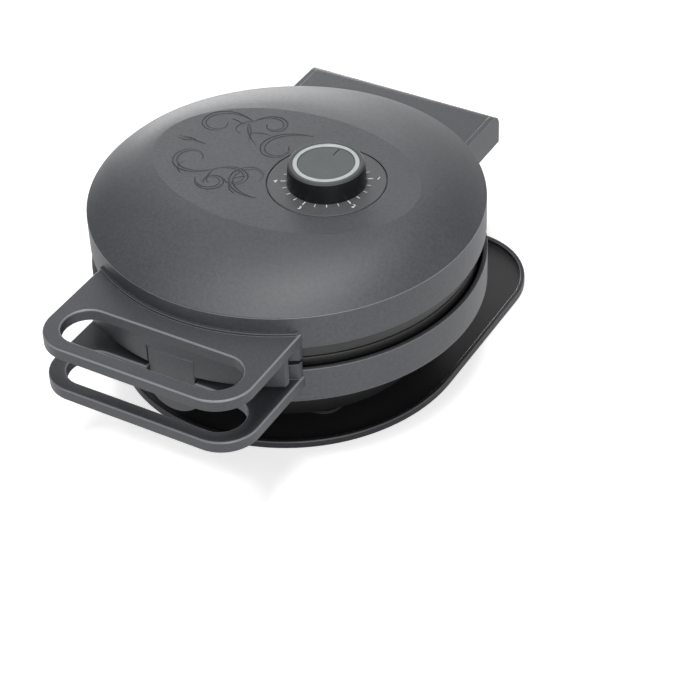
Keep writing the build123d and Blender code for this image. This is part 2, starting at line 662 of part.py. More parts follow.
with BuildPart() as lid_shell:
    with BuildSketch(Plane.XY.offset(SKIRT_Z)):
        Circle(LID_RADIUS)
    extrude(amount=LID_BAND)
    add(dome(0, RIM_Z, TOP_Z))
    cavity_top = RIM_Z - LID_WALL / 2
    add(posts([(0, 0)], LID_RADIUS - LID_WALL, SKIRT_Z - 1, cavity_top), mode=Mode.SUBTRACT)
    add(dome(LID_WALL, cavity_top, TOP_Z - LID_WALL), mode=Mode.SUBTRACT)
    fillet(lid_shell.edges().group_by(Axis.Z)[0], 0.5)
    rim = [e for e in lid_shell.edges().filter_by_position(Axis.Z, RIM_Z - 0.01, RIM_Z + 0.01)]
    fillet([e for e in rim if e.length > 2 * LID_RADIUS], RIM_ROUND)
    add(posts([(KNOB_X, 0)], DIAL_RADIUS + 2.5, BRIDGE_Z, TOP_Z - LID_WALL + 0.5))
    recess = posts([(KNOB_X, 0)], DIAL_RADIUS + DIAL_GAP, DIAL_Z, TOP_Z + 1)
    add(recess, mode=Mode.SUBTRACT)
    add(posts([(KNOB_X, 0)], DIAL_HOLE, BRIDGE_Z - 1, TOP_Z), mode=Mode.SUBTRACT)
    for x, y in DIAL_SCREWS:
        add(flat_screw(Location((x, y, DIAL_Z)), DIAL_SCREW_LENGTH, SCREW, HOLE_FIT), mode=Mode.SUBTRACT)
    add(screw_pads(LID_RADIUS, UPPER_SCREW_Z, HANDLE_SCREW_X, FRONT_SEAT, -1))
    add(screw_pads(LID_RADIUS, UPPER_SCREW_Z, HINGE_SCREW_X, REAR_SEAT, 1))
    handle_holes = [(-HANDLE_SCREW_X, UPPER_SCREW_Z), (HANDLE_SCREW_X, UPPER_SCREW_Z)]
    add(rods_along_y(handle_holes, SCREW + HOLE_FIT, -LID_RADIUS, 1 - FRONT_SEAT), mode=Mode.SUBTRACT)
    hinge_holes = [(-HINGE_SCREW_X, UPPER_SCREW_Z), (HINGE_SCREW_X, UPPER_SCREW_Z)]
    add(rods_along_y(hinge_holes, SCREW + HOLE_FIT, REAR_SEAT - 1, LID_RADIUS), mode=Mode.SUBTRACT)

with BuildPart() as dial_plate:
    with BuildSketch(Plane.XY.offset(DIAL_Z)):
        with Locations((KNOB_X, 0)):
            Circle(DIAL_RADIUS)
            Circle(DIAL_HOLE, mode=Mode.SUBTRACT)
    extrude(amount=DIAL_THICK)
    top_rings = dial_plate.edges().group_by(Axis.Z)[-1]
    chamfer(top_rings.sort_by(SortBy.RADIUS)[-1:], 0.3)

with BuildPart() as lid_bridge:
    foot_z = UPPER_SHEET + SHEET
    leg_height = BRIDGE_Z - foot_z
    foot_length = BRIDGE_STEP + BRIDGE_FOOT
    with BuildSketch(KNOB_PLANE):
        with Locations((0, BRIDGE_Z - BRIDGE_SHEET / 2)):
            Rectangle(2 * BRIDGE_LEG, BRIDGE_SHEET)
        for side in (-1, 1):
            with Locations((side * (BRIDGE_LEG - BRIDGE_SHEET / 2), foot_z + leg_height / 2)):
                Rectangle(BRIDGE_SHEET, leg_height)
            with Locations((side * (BRIDGE_LEG + foot_length / 2), foot_z + BRIDGE_SHEET / 2)):
                Rectangle(foot_length, BRIDGE_SHEET)
    extrude(amount=BRIDGE_HALF, both=True)
    fillet(lid_bridge.edges().filter_by(Axis.Y).group_by(Axis.Z)[-1], 1.5)
    add(posts(UPPER_SCREWS, PLATE_SCREW + HOLE_FIT, foot_z, foot_z + 5), mode=Mode.SUBTRACT)
    add(posts(DIAL_SCREWS, SCREW + THREAD_FIT, BRIDGE_Z - 5, BRIDGE_Z), mode=Mode.SUBTRACT)
    add(posts([(KNOB_X, 0)], 5.3, BRIDGE_Z - 5, BRIDGE_Z), mode=Mode.SUBTRACT)

with BuildPart() as bridge_screws:
    for x, y in UPPER_SCREWS:
        add(pan_screw(Location((x, y, UPPER_SHEET + SHEET + BRIDGE_SHEET)), BRIDGE_SCREW_LENGTH, PLATE_SCREW))

with BuildPart() as dial_screws:
    for x, y in DIAL_SCREWS:
        add(flat_screw(Location((x, y, DIAL_Z)), DIAL_SCREW_LENGTH, SCREW))

with BuildPart() as thermostat:
    with BuildSketch(Plane.XY.offset(BRIDGE_Z - BRIDGE_SHEET)):
        with Locations((KNOB_X, 0)):
            RectangleRounded(THERMOSTAT_X, THERMOSTAT_Y, 2)
    extrude(amount=-THERMOSTAT_Z)
    add(posts([(KNOB_X, 0)], 5.0, BRIDGE_Z - BRIDGE_SHEET - 1, BRIDGE_Z + 2.5))
    with BuildSketch(Plane.XY.offset(BRIDGE_Z - 12)):
        with Locations((KNOB_X - THERMOSTAT_X / 2 - 3, -6), (KNOB_X - THERMOSTAT_X / 2 - 3, 6)):
            Rectangle(7, 6.3)
    extrude(amount=0.8)
    bore = posts([(KNOB_X, 0)], SPINDLE_RADIUS + RUNNING_FIT, BRIDGE_Z - 14, BRIDGE_Z + 3)
    add(bore, mode=Mode.SUBTRACT)

with BuildPart() as thermostat_sensor:
    add(posts([(KNOB_X, 0)], 5.0, UPPER_BACK, UPPER_BACK + 3))
    sensor_top = BRIDGE_Z - BRIDGE_SHEET - THERMOSTAT_Z
    add(posts([(KNOB_X, 0)], 3.0, UPPER_BACK + 2, sensor_top))

# ---------------------------------------------------------------- knob
with BuildPart() as knob_body:
    skirt_inner = KNOB_RADIUS - KNOB_WALL
    add(
        turned(
            [
                (0, KNOB_Z + 3),
                (KNOB_SLEEVE, KNOB_Z + 3),
                (KNOB_SLEEVE, INLAY_Z - KNOB_WALL),
                (skirt_inner - KNOB_DRAFT, INLAY_Z - KNOB_WALL),
                (skirt_inner, KNOB_Z),
                (KNOB_RADIUS, KNOB_Z),
                (KNOB_RADIUS - KNOB_DRAFT, KNOB_TOP),
                (RING_OUTER, KNOB_TOP),
                (RING_OUTER, INLAY_Z),
                (0, INLAY_Z),
            ],
            KNOB_AXIS,
            KNOB_PLANE,
        )
    )
    crown = knob_body.edges().filter_by(GeomType.CIRCLE).group_by(Axis.Z)[-1]
    chamfer(crown.sort_by(SortBy.RADIUS)[-1:], 0.8)
    with BuildSketch(Plane.XY.offset(KNOB_Z + 3)):
        with Locations((KNOB_X, 0)):
            Circle(SPINDLE_RADIUS + THREAD_FIT)
        with Locations((KNOB_X, SPINDLE_FLAT + THREAD_FIT + SPINDLE_RADIUS)):
            Rectangle(3 * SPINDLE_RADIUS, 2 * SPINDLE_RADIUS, mode=Mode.SUBTRACT)
    extrude(amount=INLAY_Z - KNOB_Z - 4, mode=Mode.SUBTRACT)

with BuildPart() as knob_ring:
    with BuildSketch(Plane.XY.offset(INLAY_Z)):
        with Locations((KNOB_X, 0)):
            Circle(RING_OUTER - THREAD_FIT)
            Circle(RING_INNER, mode=Mode.SUBTRACT)
    extrude(amount=INLAY_DEPTH - 0.1)
    chamfer(knob_ring.edges().group_by(Axis.Z)[-1], 0.2)

with BuildPart() as knob_cap:
    with BuildSketch(Plane.XY.offset(INLAY_Z)):
        with Locations((KNOB_X, 0)):
            Circle(RING_INNER - THREAD_FIT)
    extrude(amount=INLAY_DEPTH - 0.3)
    chamfer(knob_cap.edges().group_by(Axis.Z)[-1], 0.2)
    with BuildSketch(Plane.XY.offset(INLAY_Z + INLAY_DEPTH - 0.3)):
        with Locations((KNOB_X, RING_INNER - 4.3)):
            SlotOverall(6.0, 0.9, rotation=90)
    extrude(amount=-0.5, mode=Mode.SUBTRACT)

with BuildPart() as thermostat_spindle:
    add(posts([(KNOB_X, 0)], SPINDLE_RADIUS, BRIDGE_Z - 13, INLAY_Z - 1.5))
    with BuildSketch(Plane.XY.offset(KNOB_Z + 1)):
        with Locations((KNOB_X, SPINDLE_FLAT + SPINDLE_RADIUS)):
            Rectangle(3 * SPINDLE_RADIUS, 2 * SPINDLE_RADIUS)
    extrude(amount=KNOB_HEIGHT, mode=Mode.SUBTRACT)

with BuildPart() as knob_clip:
    with BuildSketch(Plane.XY.offset(KNOB_Z + 3.4)):
        with Locations((KNOB_X, 0)):
            Circle(KNOB_SLEEVE + 0.8)
            Circle(KNOB_SLEEVE + THREAD_FIT, mode=Mode.SUBTRACT)
        with Locations((KNOB_X, -KNOB_SLEEVE)):
            Rectangle(3, 4, mode=Mode.SUBTRACT)
    extrude(amount=2)


# ---------------------------------------------------------------- handles
def handle_plan(half, front, seat):
    """Plan of a handle: straight sides, rounded front corners, a finger slot."""
    with BuildSketch() as plan:
        with Locations((0, -front)):
            Rectangle(2 * half, front - seat / 2, align=(Align.CENTER, Align.MIN))
        fillet(plan.vertices().group_by(Axis.Y)[0], HANDLE_CORNER)
        Circle(seat, mode=Mode.SUBTRACT)
        with Locations((0, -(SLOT_BACK + SLOT_FRONT) / 2)):
            SlotOverall(2 * SLOT_HALF, SLOT_FRONT - SLOT_BACK, mode=Mode.SUBTRACT)
    return plan.sketch


def outer_edges(part, height, half, back):
    """Free edges of a handle at one height: its sides, and all edges ahead of a line."""
    level = [e for e in part.edges() if max(abs(v.Z - height) for v in e.vertices()) < 0.01]
    level = [e for e in level if abs(e.center().Z - height) < 0.01]
    return [e for e in level if e.center().Y < -back or abs(e.center().X) > half - 0.05]


with BuildPart() as upper_handle:
    apron_z = LOWER_HANDLE_Z + APRON_BOTTOM
    with BuildSketch(Plane.XY.offset(HANDLE_UNDER)):
        add(handle_plan(HANDLE_HALF, HANDLE_FRONT, LID_RADIUS))
    extrude(amount=HANDLE_THICK)
    fillet(outer_edges(upper_handle.part, HANDLE_Z, HANDLE_HALF, APRON_INNER), EDGE)
    wall_low = PARTING_Z + UPPER_WALL_LIFT
    add(curved_wall(LID_RADIUS, LID_RADIUS + MOUNT_WALL, HANDLE_HALF, wall_low, HANDLE_UNDER))
    lip_half = HANDLE_HALF - EDGE
    lip = curved_wall(
        LID_RADIUS, LID_RADIUS + LIP_WIDTH, lip_half, HANDLE_UNDER, HANDLE_Z + LIP_HEIGHT
    )
    add(lip)
    apron_half = HANDLE_HALF - APRON_INSET
    add(curved_wall(APRON_INNER, APRON_RADIUS, apron_half, apron_z, HANDLE_UNDER))
    # lugs that carry the clip's pin
    lug_x = CLIP_HALF + CLIP_GAP + LUG_WALL / 2
    with BuildSketch(Plane.XY.offset(CLIP_PIN_Z - 3.2)):
        with Locations((-lug_x, CLIP_PIN_Y + 0.6), (lug_x, CLIP_PIN_Y + 0.6)):
            Rectangle(LUG_WALL, 4)
    extrude(amount=HANDLE_UNDER - CLIP_PIN_Z + 3.2)
    # window for the clip
    with BuildSketch(Plane.XY.offset(apron_z)):
        with Locations((0, -APRON_RADIUS)):
            Rectangle(2 * (CLIP_HALF + CLIP_GAP), 4 * APRON_WALL)
    extrude(amount=HEAD_Z + 2 * CLIP_GAP - apron_z, mode=Mode.SUBTRACT)
    with Locations(CLIP_LINE):
        Cylinder(PIN_RADIUS + THREAD_FIT, 2 * lug_x + LUG_WALL + 0.2, mode=Mode.SUBTRACT)
    holes = [(-HANDLE_SCREW_X, UPPER_SCREW_Z), (HANDLE_SCREW_X, UPPER_SCREW_Z)]
    tip = FRONT_SEAT + SCREW_LENGTH + 1
    add(rods_along_y(holes, SCREW + THREAD_FIT, -tip, -FRONT_SEAT), mode=Mode.SUBTRACT)

with BuildPart() as lower_handle:
    notch_back = CLIP_BACK - 0.6
    with BuildSketch(Plane.XY.offset(LOWER_UNDER)):
        add(handle_plan(LOWER_HALF, HANDLE_FRONT - 0.7, SHELL_RADIUS))
        with Locations((0, -SLOT_BACK)):
            Rectangle(
                2 * (CLIP_HALF + 2 * CLIP_GAP), 2 * (SLOT_BACK - notch_back), mode=Mode.SUBTRACT
            )
    extrude(amount=HANDLE_THICK)
    fillet(outer_edges(lower_handle.part, LOWER_HANDLE_Z, LOWER_HALF, notch_back - 0.1), EDGE)
    wall_low = LOWER_SCREW_Z - 3.6
    outer = SHELL_RADIUS + MOUNT_WALL
    add(curved_wall(SHELL_RADIUS, outer, HANDLE_HALF - 8, wall_low, LOWER_UNDER))
    wall_top = PARTING_Z + LOWER_WALL_LIFT
    add(curved_wall(SHELL_RADIUS, outer, HANDLE_HALF, LOWER_HANDLE_Z - 1, wall_top))
    boss_places = [(-HANDLE_SCREW_X, LOWER_SCREW_Z), (HANDLE_SCREW_X, LOWER_SCREW_Z)]
    boss_root = sqrt(SHELL_RADIUS**2 - HANDLE_SCREW_X**2)
    bosses = rods_along_y(boss_places, 3.3, -tip - 1.2, -boss_root - 1.5)
    add(bosses)
    add(rods_along_y(boss_places, SCREW + THREAD_FIT, -tip, -FRONT_SEAT), mode=Mode.SUBTRACT)

with BuildPart() as upper_handle_screws:
    add(seat_screws(UPPER_SCREW_Z, HANDLE_SCREW_X, FRONT_SEAT, -1))

with BuildPart() as lower_handle_screws:
    add(seat_screws(LOWER_SCREW_Z, HANDLE_SCREW_X, FRONT_SEAT, -1))

# ---------------------------------------------------------------- latch
with BuildPart() as latch_clip:
    with BuildSketch(Plane.XZ.offset(CLIP_BACK)):
        with Locations((0, TAIL_Z)):
            Rectangle(2 * CLIP_HALF, 2 * CLIP_ROUND, align=(Align.CENTER, Align.MIN))
        with Locations((0, TAIL_Z + CLIP_ROUND)):
            Circle(CLIP_ROUND, mode=Mode.INTERSECT)
            Rectangle(
                2 * CLIP_HALF, HEAD_Z - TAIL_Z - CLIP_ROUND, align=(Align.CENTER, Align.MIN)
            )
    extrude(amount=CLIP_THICK + 1)
    with Locations(CLIP_LINE):
        Cylinder(CLIP_HUB, 2 * CLIP_HALF)
    with BuildSketch(Plane.XY.offset(TAIL_Z - 1)):
        Circle(CLIP_FACE)
    extrude(amount=HEAD_Z - TAIL_Z + 1, mode=Mode.INTERSECT)
    front_top = latch_clip.edges().group_by(Axis.Z)[-1].sort_by(Axis.Y)[0:1]
    chamfer(front_top, 0.5)
    # hook under the lower handle
    hook_plane = Plane(origin=(0, -CLIP_BACK, HOOK_TOP), x_dir=(0, 1, 0), z_dir=(1, 0, 0))
    bite = HOOK_BITE + 0.6
    with BuildSketch(hook_plane):
        with BuildLine():
            Polyline((-1, 0), (bite, 0), (bite, -1.2), (0, -HOOK_HEIGHT), (-1, -HOOK_HEIGHT), close=True)
        make_face()
    extrude(amount=CLIP_HALF - 3, both=True)
    # pocket for the spring, and the pin's bore
    with BuildSketch(Plane.XY.offset(CLIP_PIN_Z - CLIP_HUB - 0.6)):
        with Locations((0, CLIP_PIN_Y + 1.6)):
            Rectangle(7, 7.6)
    extrude(amount=8, mode=Mode.SUBTRACT)
    with Locations(CLIP_LINE):
        Cylinder(PIN_RADIUS + RUNNING_FIT, 3 * CLIP_HALF, mode=Mode.SUBTRACT)

with BuildPart() as latch_pin:
    with Locations(CLIP_LINE):
        Cylinder(PIN_RADIUS, 2 * (CLIP_HALF + CLIP_GAP + LUG_WALL) - 1)

with BuildPart() as latch_spring:
    coil_length = SPRING_TURNS * SPRING_PITCH
    coil = Helix(
        pitch=SPRING_PITCH,
        height=coil_length,
        radius=SPRING_RADIUS,
        center=(-coil_length / 2, CLIP_PIN_Y, CLIP_PIN_Z),
        direction=(1, 0, 0),
        mode=Mode.PRIVATE,
    )
    with BuildSketch(Plane(origin=coil @ 0, z_dir=coil % 0)):
        Circle(SPRING_WIRE)
    sweep(path=coil, is_frenet=True)
    for point, direction, leg in ((coil @ 0, (coil % 0) * -1, 4.6), (coil @ 1, coil % 1, 1.9)):
        with BuildSketch(Plane(origin=point, z_dir=direction)):
            Circle(SPRING_WIRE)
        extrude(amount=leg)


# ---------------------------------------------------------------- hinge
def block_profile(inset):
    """Side view of the hinge cover, rounded at its upper back corner."""
    with BuildSketch() as profile:
        with Locations((BLOCK_BACK - inset, BLOCK_TOP - inset)):
            reach = BLOCK_BACK - SHELL_RADIUS / 2 - inset
            Rectangle(reach, BLOCK_TOP - BLOCK_BOTTOM, align=(Align.MAX, Align.MAX))
        corner = profile.vertices().group_by(Axis.Y)[-1].group_by(Axis.X)[-1]
        fillet(corner, BLOCK_ROUND - inset)
    return profile.sketch


with BuildPart() as hinge_cover:
    with BuildSketch(Plane.YZ):
        add(block_profile(0))
    extrude(amount=CORE_HALF, both=True)
    with BuildSketch(Plane.YZ):
        add(block_profile(BLOCK_WALL))
    extrude(amount=CORE_HALF, both=True, mode=Mode.SUBTRACT)
    wall_top = BLOCK_TOP - BLOCK_WALL / 2
    add(curved_wall(LID_RADIUS, LID_RADIUS + MOUNT_WALL, CORE_HALF, SKIRT_Z + 1, wall_top, 1))
    screw_places = [(-HINGE_SCREW_X, UPPER_SCREW_Z), (HINGE_SCREW_X, UPPER_SCREW_Z)]
    rear_tip = REAR_SEAT + SCREW_LENGTH + 1
    add(rods_along_y(screw_places, 3.3, REAR_SEAT, rear_tip + 1.2))
    for side in (-1, 1):
        with BuildSketch(Plane.YZ.offset(side * (ARM_OUTER + RIB_GAP + RIB_WALL / 2))):
            with Locations((HINGE_Y, HINGE_Z)):
                Circle(ARM_BOSS)
                Rectangle(2 * ARM_BOSS, wall_top - HINGE_Z, align=(Align.CENTER, Align.MIN))
        extrude(amount=RIB_WALL / 2, both=True)
    with Locations(HINGE_LINE):
        Cylinder(HINGE_PIN + BUSH_WALL, 2 * CORE_HALF, mode=Mode.SUBTRACT)
    thread = rods_along_y(screw_places, SCREW + THREAD_FIT, REAR_SEAT, rear_tip)
    add(thread, mode=Mode.SUBTRACT)
    add(posts([(0, 0)], LID_RADIUS, SKIRT_Z - 20, TOP_Z), mode=Mode.SUBTRACT)

with BuildPart() as end_caps:
    for side in (-1, 1):
        with BuildSketch(Plane.YZ.offset(side * (BLOCK_HALF - CAP_THICK / 2))):
            add(block_profile(0))
        extrude(amount=CAP_THICK / 2, both=True)
    add(posts([(0, 0)], LID_RADIUS, SKIRT_Z, TOP_Z), mode=Mode.SUBTRACT)
    add(posts([(0, 0)], SHELL_RADIUS, SKIRT_Z - 20, SKIRT_Z), mode=Mode.SUBTRACT)

with BuildPart() as hinge_bushes:
    for side in (-1, 1):
        bush_x = side * (ARM_OUTER + RIB_GAP)
        with BuildSketch(Plane.YZ.offset(bush_x)):
            with Locations((HINGE_Y, HINGE_Z)):
                Circle(HINGE_PIN + BUSH_WALL)
                Circle(HINGE_PIN + RUNNING_FIT, mode=Mode.SUBTRACT)
        extrude(amount=side * RIB_WALL)
        with BuildSketch(Plane.YZ.offset(bush_x)):
            with Locations((HINGE_Y, HINGE_Z)):
                Circle(HINGE_PIN + 2 * BUSH_WALL)
                Circle(HINGE_PIN + RUNNING_FIT, mode=Mode.SUBTRACT)
        extrude(amount=-side * BUSH_FLANGE)

with BuildPart() as hinge_bracket:
    with BuildSketch(Plane.XY.offset(BRACKET_BOTTOM)):
        Rectangle(2 * BLOCK_HALF, BRACKET_BACK, align=(Align.CENTER, Align.MIN))
        fillet(vertices().group_by(Axis.Y)[-1], 6)
        Circle(SHELL_RADIUS, mode=Mode.SUBTRACT)
    extrude(amount=BRACKET_HEIGHT)
    back_low = [e for e in hinge_bracket.edges().group_by(Axis.Z)[0] if e.center().Y > BRACKET_BACK - 16]
    chamfer([e for e in back_low if e.length > 4], 1.0)
    # pockets moulded in from below, one each side
    pocket_inner = 16.0
    pocket_outer = BLOCK_HALF - BLOCK_WALL
    with BuildSketch(Plane.XY.offset(BRACKET_BOTTOM)):
        for side in (-1, 1):
            with Locations((side * (pocket_inner + pocket_outer) / 2, 0)):
                Rectangle(
                    pocket_outer - pocket_inner,
                    BRACKET_BACK - BLOCK_WALL,
                    align=(Align.CENTER, Align.MIN),
                )
        Circle(SHELL_RADIUS + MOUNT_WALL, mode=Mode.SUBTRACT)
    extrude(amount=BRACKET_HEIGHT - BLOCK_WALL, mode=Mode.SUBTRACT)
    screw_places = [(-HINGE_SCREW_X, REAR_SCREW_Z), (HINGE_SCREW_X, REAR_SCREW_Z)]
    boss_root = sqrt(SHELL_RADIUS**2 - HINGE_SCREW_X**2)
    add(rods_along_y(screw_places, 3.3, boss_root + 2.5, rear_tip + 1.2))
    # arms that carry the pin
    arm_back = BRACKET_BACK - 0.4
    arm_front = arm_back - ARM_DEPTH
    for side in (-1, 1):
        with BuildSketch(Plane.YZ.offset(side * (ARM_INNER + ARM_OUTER) / 2)):
            with BuildLine():
                Polyline(
                    (arm_front, BRACKET_TOP - 1),
                    (arm_front, HINGE_Z + 1),
                    (arm_front + 4, HINGE_Z + 5),
                    (HINGE_Y, HINGE_Z + ARM_BOSS),
                    (HINGE_Y, HINGE_Z - ARM_BOSS),
                    (arm_back, HINGE_Z - ARM_BOSS + 0.4),
                    (arm_back, BRACKET_TOP - 1),
                    close=True,
                )
            make_face()
            with Locations((HINGE_Y, HINGE_Z)):
                Circle(ARM_BOSS)
        extrude(amount=(ARM_OUTER - ARM_INNER) / 2, both=True)
    with Locations(HINGE_LINE):
        Cylinder(HINGE_PIN + THREAD_FIT, 2 * BLOCK_HALF, mode=Mode.SUBTRACT)
    add(rods_along_y(screw_places, SCREW + THREAD_FIT, REAR_SEAT, rear_tip), mode=Mode.SUBTRACT)
    add(
        rods_along_y([(0, GLAND_Z)], GLAND_BORE + GLAND_WALL, GLAND_START, BRACKET_BACK + 1),
        mode=Mode.SUBTRACT,
    )

with BuildPart() as hinge_pin:
    pin_half = ARM_OUTER + RIB_GAP + RIB_WALL + 2.0
    with Locations(HINGE_LINE):
        Cylinder(HINGE_PIN, 2 * pin_half)
    for side in (-1, 1):
        with BuildSketch(Plane.YZ.offset(side * (pin_half - 1))):
            with Locations((HINGE_Y, HINGE_Z)):
                Circle(HINGE_PIN)
                Circle(HINGE_PIN - 0.6, mode=Mode.SUBTRACT)
        extrude(amount=0.4, both=True, mode=Mode.SUBTRACT)

with BuildPart() as pin_clips:
    for side in (-1, 1):
        with BuildSketch(Plane.YZ.offset(side * (pin_half - 1))):
            with Locations((HINGE_Y, HINGE_Z)):
                Circle(HINGE_PIN + 2.0)
                Circle(HINGE_PIN - 0.6 + THREAD_FIT, mode=Mode.SUBTRACT)
            with Locations((HINGE_Y, HINGE_Z - HINGE_PIN)):
                Rectangle(2.4, 5, mode=Mode.SUBTRACT)
        extrude(amount=0.3, both=True)

with BuildPart() as cover_screws:
    add(seat_screws(UPPER_SCREW_Z, HINGE_SCREW_X, REAR_SEAT, 1))

with BuildPart() as bracket_screws:
    add(seat_screws(REAR_SCREW_Z, HINGE_SCREW_X, REAR_SEAT, 1))

with BuildPart() as cord_gland:
    add(rods_along_y([(0, GLAND_Z)], GLAND_BORE + GLAND_WALL - THREAD_FIT, GLAND_START, BRACKET_BACK))
    add(rods_along_y([(0, GLAND_Z)], GLAND_FLANGE, BRACKET_BACK, BRACKET_BACK + 2.2))
    fillet(cord_gland.edges().group_by(Axis.Y)[-1], 0.8)
    bore = rods_along_y([(0, GLAND_Z)], GLAND_BORE, GLAND_START, BRACKET_BACK + 3)
    add(bore, mode=Mode.SUBTRACT)

# ---------------------------------------------------------------- pieces written out
PIECES = {
    "drip_tray": drip_tray,
    "rubber_feet": rubber_feet,
    "base_pan": base_pan,
    "lower_shell": lower_shell,
    "lower_plate": lower_plate,
    "lower_element": lower_element,
    "lower_reflector": lower_reflector,
    "lower_thermal_fuse": lower_thermal_fuse,
    "plate_screws": plate_screws,
    "pan_screws": pan_screws,
    "terminal_block": terminal_block,
    "lower_handle": lower_handle,
    "lower_handle_screws": lower_handle_screws,
    "hinge_bracket": hinge_bracket,
    "bracket_screws": bracket_screws,
    "hinge_pin": hinge_pin,
    "pin_clips": pin_clips,
    "cord_gland": cord_gland,
    "lid_shell": lid_shell,
    "upper_plate": upper_plate,
    "upper_element": upper_element,
    "upper_reflector": upper_reflector,
    "upper_thermal_fuse": upper_thermal_fuse,
    "lid_bridge": lid_bridge,
    "bridge_screws": bridge_screws,
    "dial_screws": dial_screws,
    "dial_plate": dial_plate,
    "thermostat": thermostat,
    "thermostat_sensor": thermostat_sensor,
    "thermostat_spindle": thermostat_spindle,
    "knob_body": knob_body,
    "knob_ring": knob_ring,
    "knob_cap": knob_cap,
    "knob_clip": knob_clip,
    "upper_handle": upper_handle,
    "upper_handle_screws": upper_handle_screws,
    "latch_clip": latch_clip,
    "latch_pin": latch_pin,
    "latch_spring": latch_spring,
    "hinge_cover": hinge_cover,
    "end_caps": end_caps,
    "hinge_bushes": hinge_bushes,
    "cover_screws": cover_screws,
}

for name, piece in PIECES.items():
    piece.part.label = name
    export_step(piece.part, f"parts/{name}.step")
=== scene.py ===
"""Electric krumkake iron, dressed and lit for the photograph's view. Lengths are in metres."""

from math import cos, pi, radians, sin

import bpy
from mathutils import Matrix, Vector


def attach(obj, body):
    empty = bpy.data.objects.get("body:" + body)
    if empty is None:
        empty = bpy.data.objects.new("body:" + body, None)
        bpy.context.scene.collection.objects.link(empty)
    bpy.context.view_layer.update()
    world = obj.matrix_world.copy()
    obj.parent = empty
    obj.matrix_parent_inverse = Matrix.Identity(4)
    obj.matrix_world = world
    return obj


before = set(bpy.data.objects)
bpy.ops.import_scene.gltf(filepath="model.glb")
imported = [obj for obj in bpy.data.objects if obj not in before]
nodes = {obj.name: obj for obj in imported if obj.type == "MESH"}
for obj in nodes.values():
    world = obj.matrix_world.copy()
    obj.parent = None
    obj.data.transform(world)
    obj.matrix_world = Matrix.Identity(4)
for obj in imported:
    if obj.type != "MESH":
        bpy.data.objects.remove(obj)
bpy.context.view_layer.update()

MM = 0.001
TOP = 109.6 * MM  # the lid's flat top and the dial's face
KNOB_X = 25.1 * MM

# slopes, as the upward part of a face's direction: 0 on a wall, 1 on a level face; they pick the faces that
# get a painted highlight colour
ROUNDED_EDGES = (0.15, 0.97)  # on a piece that has only walls and level faces
SHELL_RIMS = (0.08, 0.50)  # between a housing's wall and its sloping flank
FACES_UP = (0.2, 1.2)  # everything but walls and undersides
EDGE_RADIUS = 0.5 * MM  # how far an edge's painted highlight line reaches to each side


# ---------------------------------------------------------------- materials
class Value:
    """One value in a material; arithmetic on it adds the nodes that work it out."""

    def __init__(self, tree, socket=None):
        self.tree, self.socket = tree, socket

    def node(self, kind, inputs=None, output=0, **settings):
        """Any node: its settings first, then the values or links of its sockets."""
        made = self.tree.nodes.new(kind)
        for name, setting in settings.items():
            setattr(made, name, setting)
        for key, value in (inputs or {}).items():
            if isinstance(value, Value):
                self.tree.links.new(value.socket, made.inputs[key])
            else:
                made.inputs[key].default_value = value
        return Value(self.tree, made.outputs[output])

    def maths(self, operation, *values):
        return self.node("ShaderNodeMath", dict(enumerate(values)), operation=operation)

    def __add__(self, other):
        return self.maths("ADD", self, other)

    def __mul__(self, other):
        return self.maths("MULTIPLY", self, other)

    def __sub__(self, other):
        return self.maths("SUBTRACT", self, other)

    def __rsub__(self, other):
        return self.maths("SUBTRACT", other, self)

    __radd__, __rmul__ = __add__, __mul__

    def clamped(self, low, high):
        """This value mapped from low..high to 0..1 and held there."""
        return self.node("ShaderNodeMapRange", {"Value": self, "From Min": low, "From Max": high})

    def seen_directly(self):
        """1 where the camera sees something, straight or by reflection or through glass."""
        seen, shiny, through = (
            self.node("ShaderNodeLightPath", output=f"Is {kind} Ray")
            for kind in ("Camera", "Glossy", "Transmission")
        )
        return seen.maths("MAXIMUM", seen, shiny.maths("MAXIMUM", shiny, through))

    def blend(self, dark, light):
        """A colour between two, by this value."""
        inputs = {"Factor": self, "A": dark, "B": light}
        return self.node("ShaderNodeMix", inputs, output="Result", data_type="RGBA")


def colour(red, green, blue):
    return (red, green, blue, 1.0)


def shaded(rgb, factor):
    return colour(*(factor * part for part in rgb))


